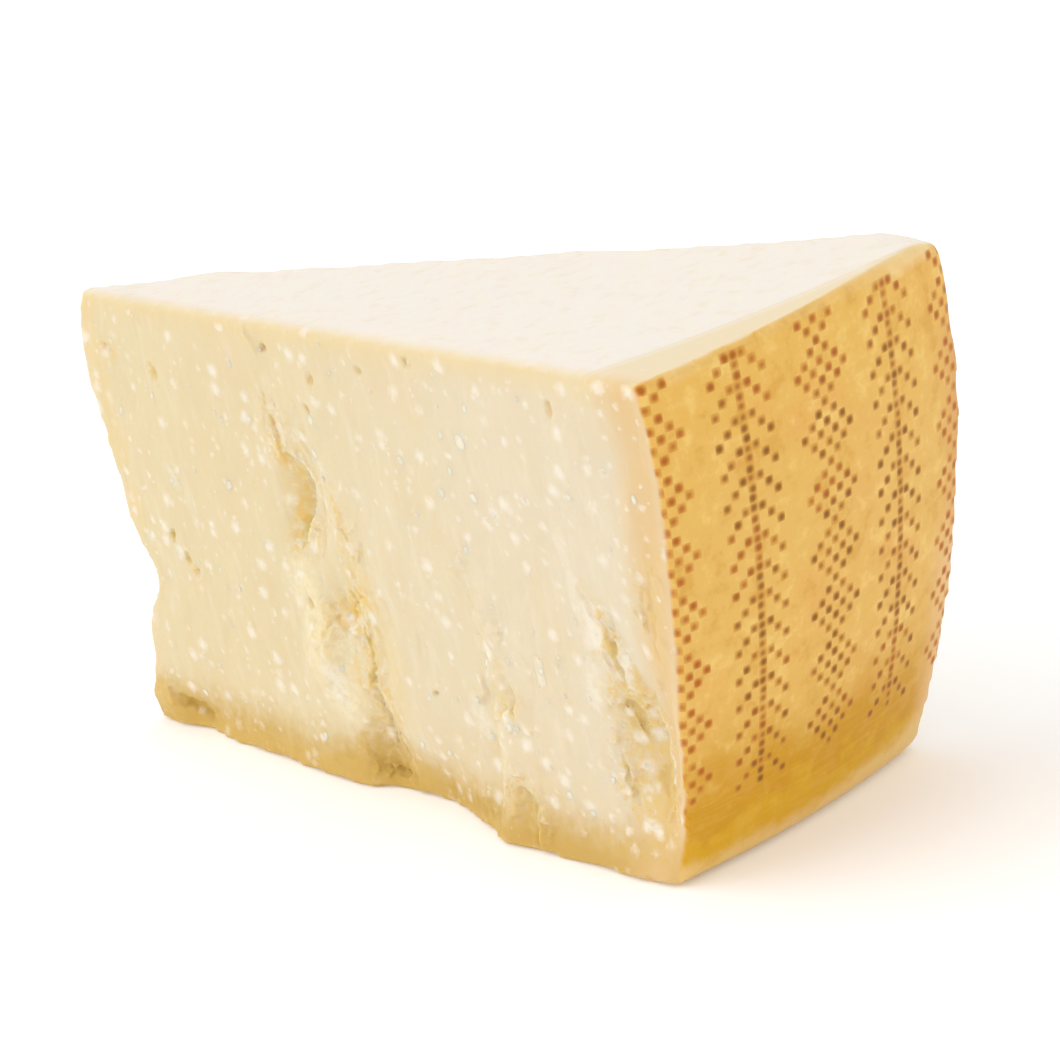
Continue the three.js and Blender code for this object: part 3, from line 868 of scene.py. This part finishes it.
pasteLook = {
    "paste": (224, 209, 180),  # near the rind
    "deep": (223, 205, 163),  # near the point
    # amber is also the painted shade in the hollows
    "warm": (224, 202, 160), "pale": (232, 219, 194), "amber": (225, 192, 116),
    # top is the cut's own dry white with painted highlight in it
    "top": (241, 232, 219), "dry": (235, 220, 195), "topBand": (235, 217, 181),
    # the foot colour below is the rind section with painted shade in it
    "brim": (226, 203, 150), "rindEdge": (222, 188, 132), "footRindAndShade": (199, 158, 56),
    "speck": (240, 231, 216),
    "speckFray": 2.2,  # mm
    "grainDepth": 0.25,  # mm
    "topGrainDepth": 0.12,
    "finish": {
        "Roughness": 0.62, "Specular IOR Level": 0.35, "Subsurface Weight": 0.5,
        "Subsurface Radius": (1.0, 0.6, 0.3), "Subsurface Scale": 0.005,
    },
    "topRoughness": 0.7,
}


# The colour of the cheese anywhere inside the wheel.
def makePasteColour(look, wheelPlace, specks, rindColour):
    group, takes, gives = newGroup(
        "paste_colour", ["Place", "Hollow", "Crag", "Top", "Stain", "StainShare"], ["Colour"])
    place, top, crag = takes["Place"], takes["Top"], takes["Crag"]
    where = useGroup(wheelPlace, Place=place)
    depth, height = where["Depth"], where["Height"]
    streaky = noise(stretched(place, (1, 1, 0.3)), 300, 3)
    pits = ramp(noise(place, 330, 4, 0.65), 0.48, 0.64, 0, 0.7)
    flecks = ramp(noise(place, 480, 3, 0.6), 0.46, 0.34, 0, 0.8)
    wander = swaying(noise(place, 45, 3), 10)
    foot = ramp(plus(plus(height, wander), swaying(noise(place, 330, 3), 8)), 17, 3)
    underRind = ramp(plus(depth, times(wander, 0.4)), 18, 6)
    mottle = ramp(noise(place, 400, 4, 0.65), 0.36, 0.6, 0.3, 1)
    tone = layOver(look["paste"], [
        (ramp(depth, 20, 160), look["deep"]),
        (ramp(noise(place, 32, 3), 0.45, 0.75, 0, 0.6), look["warm"]),
        (ramp(streaky, 0.5, 0.8, 0, 0.4), look["pale"]),
        # a yellower brim under the top cut
        (times(ramp(height, 103, 112), 0.6), look["brim"]),
        # painted shade: the deeper a hollow lies, the darker and more amber its paste is painted
        (times(takes["Hollow"], 0.7), look["amber"]),
        # crags are mottled, golden in the pits and pale on the flakes
        (times(pits, crag), look["amber"]),
        (times(flecks, crag), look["pale"]),
        # the rind section along the foot, darker also as painted shade where the face turns under, and the
        # warm band just under the rind
        (times(foot, 0.85), look["footRindAndShade"]),
        (times(underRind, ramp(depth, 1.5, 4, 0.6, 0.88)), look["rindEdge"]),
        # stains, painted shade and painted highlight are mottled too
        (times(takes["StainShare"], mottle), takes["Stain"]),
    ])

    # the top cut, dry and paler, with painted highlight in its white, and its yellow band outside a line
    # that nears the rim at the back
    inside = minus(depth, plus(times(where["Angle"], -0.77), 3.45))
    topTone = layOver(look["top"], [
        (ramp(noise(place, 240, 4, 0.6), 0.5, 0.72, 0, 0.5), look["dry"]),
        (ramp(inside, 1.5, -3), look["topBand"]),
        (times(ramp(maths("ABSOLUTE", inside), 0.7, 0.1), 0.25), look["amber"]),
    ])

    # specks crowd together in places, and are fewer at the foot and on the top cut
    crowd = ramp(noise(place, 42), 0.4, 0.62, 0.4, 1)
    squat = stretched(place, (1, 1, 1.08))
    large = useGroup(specks, Place=squat, Cells=175, Size=0.5, Share=times(crowd, 0.75))["Mask"]
    small = useGroup(specks, Place=squat, Cells=300, Size=0.44, Share=times(crowd, 0.6))["Mask"]
    speck = times(larger(large, times(small, 0.65)), ramp(height, 2, 10, 0.45, 1))
    speck = times(speck, ramp(top, 0, 1, 1, 0.5))
    feed(gives["Colour"], layOver(tone, [
        (top, topTone),
        (times(speck, 0.75), look["speck"]),
        # the skin of the rind
        (ramp(depth, 1.6, 0.5), useGroup(rindColour, Place=place)["Colour"]),
    ]))
    return group


def makePaste(name, pasteColour, finish, grainDepth):
    material, tree, shader = newMaterial(name, finish)
    place = ownPlace(tree)
    hollow, crag, topShare, stain = [
        addNode("Attribute", {}, tree, attribute_name=label).outputs
        for label in ("hollow", "crag", "topShare", "stain")]
    body = useGroup(pasteColour, Place=place, Hollow=hollow["Fac"], Crag=crag["Fac"], Top=topShare["Fac"],
                    Stain=stain["Color"], StainShare=stain["Alpha"])
    feed(shader["Base Color"], body["Colour"])
    addBump(shader, noise(place, 900, 5, 0.6), grainDepth)
    return material


rindLook = {
    # low and olive are partly painted shade, darker towards the foot
    "upper": (227, 179, 84), "middle": (225, 180, 92), "low": (202, 147, 2), "olive": (210, 160, 4),
    "stain": (228, 152, 84), "light": (236, 198, 112), "dark": (210, 154, 56), "rubbed": (238, 212, 156),
    "backEdge": (212, 152, 84), "lowBackEdge": (232, 190, 130), "footEdge": (227, 192, 122),
    "pin": (136, 86, 0), "pinRed": (188, 96, 10), "halo": (202, 136, 40),
    "pitch": 5.9,  # degrees from column to column
    "first": -11.9,  # degrees, middle of the first whole column
    "columnInset": 4,  # mm under the widest ring, where a column's width is measured
    "pinPitch": 2.1,  # mm from pin to pin
    "pinSize": 1.15,  # mm
    "pinStray": 0.18,  # mm
    "lowest": 17.0,
    "highest": 112.0,
    "reliefDepth": 0.3,  # mm
    "finish": {
        "Roughness": 0.5, "Specular IOR Level": 0.3, "Subsurface Weight": 0.15,
        "Subsurface Radius": (1.0, 0.5, 0.2), "Subsurface Scale": 0.002,
    },
}


# Where a whole number stands in a cycle; 600 keeps it from going below 0.
def inCycle(value, length):
    return maths("MODULO", plus(value, 600.0), length)


# Pin dots in upright bands: lozenges one inside the other, and an ear of grain, in turn.
def makePinOrnament(look, wheelPlace):
    group, takes, gives = newGroup("pin_ornament", ["Place"], ["Mask", "Halo", "Draw"])
    where = useGroup(wheelPlace, Place=takes["Place"])
    height, pitch = where["Height"], look["pinPitch"]
    turns = over(minus(where["Angle"], look["first"]), look["pitch"])
    column = maths("ROUND", turns)
    mmPerDegree = math.radians(1) * (wheel["radius"] - look["columnInset"])
    across = times(minus(turns, column), look["pitch"] * mmPerDegree)
    step, row = [maths("ROUND", over(value, pitch)) for value in (across, height)]
    aside = maths("ABSOLUTE", step)

    # lozenges: two lines that cross every six rows, with a smaller pair inside
    swing = maths("ABSOLUTE", minus(inCycle(row, 6), 3))
    plait = larger(same(aside, swing), same(aside, minus(swing, 2)))
    # ear: a stalk with a pair of slanting leaves every three rows
    ear = larger(same(inCycle(plus(row, aside), 3), 0), same(aside, 0))
    ear = times(ear, maths("LESS_THAN", aside, 3.5))
    sources = {"Factor": same(inCycle(column, 2), 0), 2: plait, 3: ear}
    shown = addNode("Mix", sources, data_type="FLOAT").outputs[0]
    rowUp = times(row, pitch)
    shown = times(shown, maths("GREATER_THAN", rowUp, look["lowest"]))
    shown = times(shown, maths("LESS_THAN", rowUp, look["highest"]))

    # each pin has its own size and sits a little off its place
    seed = addNode("CombineXYZ", {0: step, 1: row, 2: column}).outputs[0]
    chance = addNode("TexWhiteNoise", {"Vector": seed}, noise_dimensions="3D").outputs["Color"]
    draw = addNode("SeparateColor", {0: chance}).outputs
    strays = [ramp(draw[way], 0, 1, -look["pinStray"], look["pinStray"]) for way in (0, 1)]
    offAcross = plus(minus(across, times(step, pitch)), strays[0])
    gap = hypotenuse(offAcross, plus(minus(height, rowUp), strays[1]))
    size = ramp(draw[2], 0, 1, look["pinSize"] * 0.75, look["pinSize"] * 1.1)
    feed(gives["Mask"], times(ramp(gap, size, times(size, 0.2)), shown))
    feed(gives["Halo"], times(ramp(gap, pitch * 0.9, pitch * 0.35), shown))
    feed(gives["Draw"], draw[2])
    return group


def makeRindColour(look, wheelPlace, pinOrnament):
    group, takes, gives = newGroup("rind_colour", ["Place"], ["Colour", "Relief"])
    place = takes["Place"]
    where = useGroup(wheelPlace, Place=place)
    height, angle = where["Height"], where["Angle"]
    blotch = noise(place, 60, 4, 0.6)
    ragged = swaying(noise(place, 150, 4, 0.65), 16)
    level = plus(plus(height, swaying(blotch, 26)), ragged)
    patches = noise(place, 170, 5, 0.65)
    weave = noise(stretched(place, (1, 1, 14)), 90, 3)
    rim = plus(height, swaying(blotch, 9))
    turned = minus(plus(height, times(ragged, 0.5)), ramp(angle, -8, 6, 0, 3.5))
    pins = useGroup(pinOrnament, Place=place)
    # pins are redder in patches, in the first band, in the last, and near the rim
    redder = ramp(noise(place, 48), 0.52, 0.7, 0, 0.7)
    bands = (angle, -14.6, -15.6, 0.75), (angle, 1.5, 4, 0.7), (height, 98, 108, 0.6)
    for value, low, high, share in bands:
        redder = larger(redder, ramp(value, low, high, 0, share))
    pinTone = blend(redder, look["pin"], look["pinRed"])
    feed(gives["Colour"], layOver(look["low"], [
        # the rind grows darker and more olive, with fewer light patches, towards the foot: partly its own
        # colour and partly painted shade
        (ramp(level, 14, 40), look["middle"]),
        (ramp(level, 70, 110), look["upper"]),
        (ramp(level, 14, 8), look["olive"]),
        (times(ramp(noise(place, 40, 3), 0.52, 0.75), 0.3), look["stain"]),
        (times(ramp(patches, 0.5, 0.68), ramp(level, 14, 40, 0.15, 0.8)), look["light"]),
        (ramp(patches, 0.48, 0.32, 0, 0.6), look["dark"]),
        (ramp(weave, 0.45, 0.8, 0, 0.25), look["upper"]),
        # the rim is rubbed pale towards the back
        (times(ramp(rim, 110.5, 114.5), ramp(angle, -3, 5, 0.4, 1)), look["rubbed"]),
        (times(times(ramp(angle, 3.6, 6.4), ramp(height, 104, 92)), 0.7), look["backEdge"]),
        (times(times(ramp(angle, 2.6, 5.6), ramp(height, 62, 42)), 0.85), look["lowBackEdge"]),
        # the turn of the rind to the flat side is pale again
        (ramp(turned, 7, 2, 0, 0.9), look["footEdge"]),
        (times(pins["Halo"], 0.7), look["halo"]),
        (times(pins["Mask"], ramp(pins["Draw"], 0, 1, 0.65, 1)), pinTone),
    ]))
    relief = plus(times(weave, 0.5), times(noise(place, 500, 4), 0.6))
    feed(gives["Relief"], minus(relief, pins["Mask"]))
    return group


def makeRind(name, rindColour, look):
    material, tree, shader = newMaterial(name, look["finish"])
    skin = useGroup(rindColour, Place=ownPlace(tree))
    feed(shader["Base Color"], skin["Colour"])
    addBump(shader, skin["Relief"], look["reliefDepth"])
    return material


def makeCrystalMaterial(look):
    material, tree, shader = newMaterial("white_crystal", look["finish"])
    cloudy = ramp(noise(ownPlace(tree), 260, 3), 0.4, 0.7)
    feed(shader["Base Color"], blend(cloudy, look["colour"], pasteLook["pale"]))
    return material


# The chunk's materials in the order of its slots.
def makeMaterials(paste, rind):
    wheelPlace = makeWheelPlace()
    rindColour = makeRindColour(rind, wheelPlace, makePinOrnament(rind, wheelPlace))
    pasteColour = makePasteColour(paste, wheelPlace, makeSpecks(paste), rindColour)
    topFinish = {**paste["finish"], "Roughness": paste["topRoughness"]}
    return [
        makePaste("broken_paste", pasteColour, paste["finish"], paste["grainDepth"]),
        makePaste("top_cut", pasteColour, topFinish, paste["topGrainDepth"]),
        makeRind("golden_rind", rindColour, rind),
        makeRind("foot_rind", rindColour, rind),
    ]


# Each face takes the slot that most of its corners are in.
def dressChunk(piece, place, materials):
    for material in materials:
        piece.data.materials.append(material)
    slots = np.zeros(len(place["up"]), dtype=int)
    for slot, part in ((1, "isTop"), (2, "isRind"), (3, "isFoot")):
        slots[place[part]] = slot
    faces = piece.data.polygons
    faceSlots = []
    for face in faces:
        corners = [slots[vertex] for vertex in face.vertices]
        faceSlots.append(max(sorted(set(corners)), key=corners.count))
    faces.foreach_set("material_index", faceSlots)
    faces.foreach_set("use_smooth", [True] * len(faces))
    piece.vertex_groups.clear()


def spread(values, low, high):
    least, most = values.min(), values.max()
    return low + (high - low) * (values - least) / (most - least)


# Flat islands, one set for each material: both broken faces, the top cut, the rind and the foot.
def layOut(piece, place):
    mesh = piece.data
    corners = readAll(mesh.loops, "vertex_index", kind=np.int32)
    sizes, slot = [readAll(mesh.polygons, name, kind=np.int32) for name in ("loop_total", "material_index")]
    slot = np.repeat(slot, sizes)
    centres = readAll(mesh.polygons, "center", 3) / mm
    isFront = np.repeat(np.abs(onFace(-1, centres)[1]) < np.abs(onFace(1, centres)[1]), sizes)
    x, y, up = place["points"][corners].T
    angle = np.degrees(np.arctan2(y - wheel["axis"][1], x - wheel["axis"][0]))
    # the blunt point unrolls past the end of each face
    unrolled = [along - np.clip(-outside, 0, 8) for along, outside in (place["front"], place["back"])]
    islands = (
        ((slot == 0) & isFront, unrolled[0][corners], up, 0.01, 0.49),
        ((slot == 0) & ~isFront, unrolled[1][corners], up, 0.51, 0.99),
        (slot == 1, x, y, 0.02, 0.98), (slot == 2, angle, up, 0.02, 0.98), (slot == 3, x, y, 0.02, 0.98),
    )
    spots = np.zeros((len(corners), 2))
    for picked, across, upward, low, high in islands:
        spots[picked, 0] = spread(across[picked], 0.02, 0.98)
        spots[picked, 1] = spread(upward[picked], low, high)
    layer = mesh.uv_layers.new(name="OFBake")
    layer.data.foreach_set("uv", spots.astype(np.float32).ravel())


dressChunk(chunk, chunkPlace, makeMaterials(pasteLook, rindLook))
layOut(chunk, chunkPlace)
crystals.data.materials.append(makeCrystalMaterial(crystalLook))
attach(crystals, "root")
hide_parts("parmesan_chunk")
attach(chunk, "root")
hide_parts("parmesan_chunk")
print("chunk dressed")
